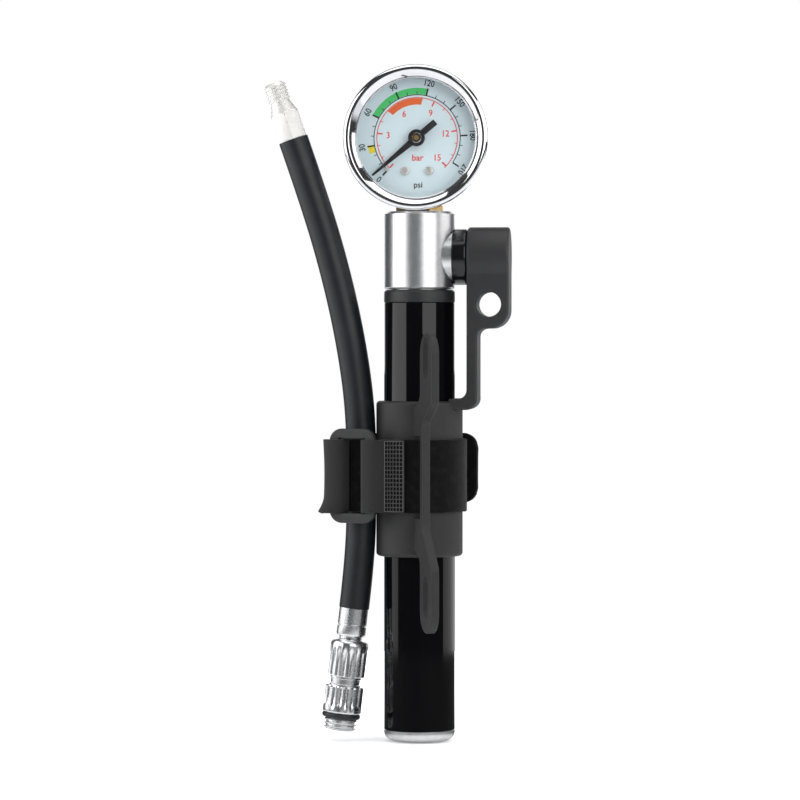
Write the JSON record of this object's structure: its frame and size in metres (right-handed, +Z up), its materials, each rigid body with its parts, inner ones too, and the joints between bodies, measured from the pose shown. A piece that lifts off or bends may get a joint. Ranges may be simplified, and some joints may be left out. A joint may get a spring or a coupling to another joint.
{
  "type": "mini pump",
  "caption": "Hand-held bicycle mini pump with a dial gauge, a capped outlet, a flexible hose with a screw-on chuck, and a frame bracket with a hook and loop strap.",
  "frame": {"origin": "centre of the end cap's flat bottom face, on the pump's axis", "axes": "+Z up the pump to the gauge; the bracket's plate points along -Y and its bolts run along X"},
  "size_m": [0.0728, 0.0477, 0.1983],
  "materials": {
    "gloss_black": "gloss black anodised aluminium",
    "satin_silver": "fine satin turned aluminium",
    "bright_chrome": "bright plated",
    "brass": "machined brass",
    "steel": "drawn steel",
    "bracket_nylon": "matte moulded dark grey nylon",
    "black_plastic": "matte moulded plastic",
    "soft_rubber": "matte moulded rubber",
    "hose_rubber": "satin extruded rubber",
    "strap_velour": "black hook and loop velour",
    "strap_weave": "woven nylon with a welded patch",
    "dial_white": "printed white dial",
    "pointer_black": "black painted",
    "lens_glass": "clear lens"
  },
  "bodies": {
    "pump_body": {"frame_bracket": "bracket_nylon", "strap_band": "strap_velour", "strap_ring": "black_plastic", "strap_front": "strap_weave", "strap_weld": "strap_weave", "strap_fold": "strap_weave", "strap_tail": "strap_velour", "hose": "hose_rubber", "hose_ferrule": "bright_chrome", "hose_nipple": "bright_chrome", "chuck_ferrule": "bright_chrome", "pump_head": "satin_silver", "outlet_socket": "gloss_black", "outlet_seal": "soft_rubber", "inner_barrel": "satin_silver", "barrel_bush": "black_plastic", "barrel_o_ring": "soft_rubber", "valve_seat": "brass", "valve_spring": "steel", "gauge_stem": "brass", "gauge_case": "bright_chrome", "gauge_bezel": "bright_chrome", "gauge_lens": "lens_glass", "gauge_dial": "dial_white", "dial_screws": "steel", "stop_pin": "steel", "movement_frame": "brass", "bourdon_tube": "brass", "cap_tether_foot": "soft_rubber"},
    "handle": {"handle_tube": "gloss_black", "end_cap": "satin_silver", "guide_ring": "black_plastic", "piston_rod": "steel", "stop_bumper": "soft_rubber", "piston": "black_plastic", "piston_o_ring": "soft_rubber"},
    "pointer": {"gauge_pointer": "pointer_black", "pointer_spindle": "brass"},
    "sector": {"sector_gear": "brass"},
    "check_ball": {"valve_ball": "steel"},
    "cap": {"dust_cap": "soft_rubber"},
    "chuck": {"chuck_collar": "bright_chrome", "chuck_nut": "bright_chrome", "chuck_o_ring": "soft_rubber", "chuck_seal": "soft_rubber"}
  },
  "joints": [
    {"name": "handle_slide", "type": "slide", "parent": "pump_body", "child": "handle", "axis": [0, 0, -1], "range_m": [0, 0.105]},
    {"name": "pointer_turn", "type": "hinge", "parent": "pump_body", "child": "pointer", "pos_m": [0, 0, 0.1771], "axis": [0.342, 0.9397, 0], "range_deg": [0, 255], "stiffness_Nm_per_rad": 0.0001, "springref_deg": -17.19},
    {"name": "sector_turn", "type": "hinge", "parent": "pump_body", "child": "sector", "pos_m": [0, 0, 0.1687], "axis": [0.342, 0.9397, 0], "range_deg": [-43, 0.5]},
    {"name": "check_valve_lift", "type": "slide", "parent": "pump_body", "child": "check_ball", "axis": [0, 0, 1], "range_m": [0, 0.001], "stiffness_N_per_m": 20, "springref_m": -0.001, "deforming": ["valve_spring"]},
    {"name": "cap_flex", "type": "hinge", "parent": "pump_body", "child": "cap", "pos_m": [0.01353, -0.00492, 0.0975], "axis": [0.342, 0.9397, 0], "range_deg": [0, 60], "stiffness_Nm_per_rad": 0.02, "springref_deg": -11.46},
    {"name": "chuck_swivel", "type": "hinge", "parent": "pump_body", "child": "chuck", "pos_m": [-0.01977, 0.00511, 0.02977], "axis": [-0.1162, 0.0301, -0.9928], "continuous": true}
  ],
  "couplings": [
    {"joint": "sector_turn", "follows": "pointer_turn", "ratio": -0.16667}
  ]
}
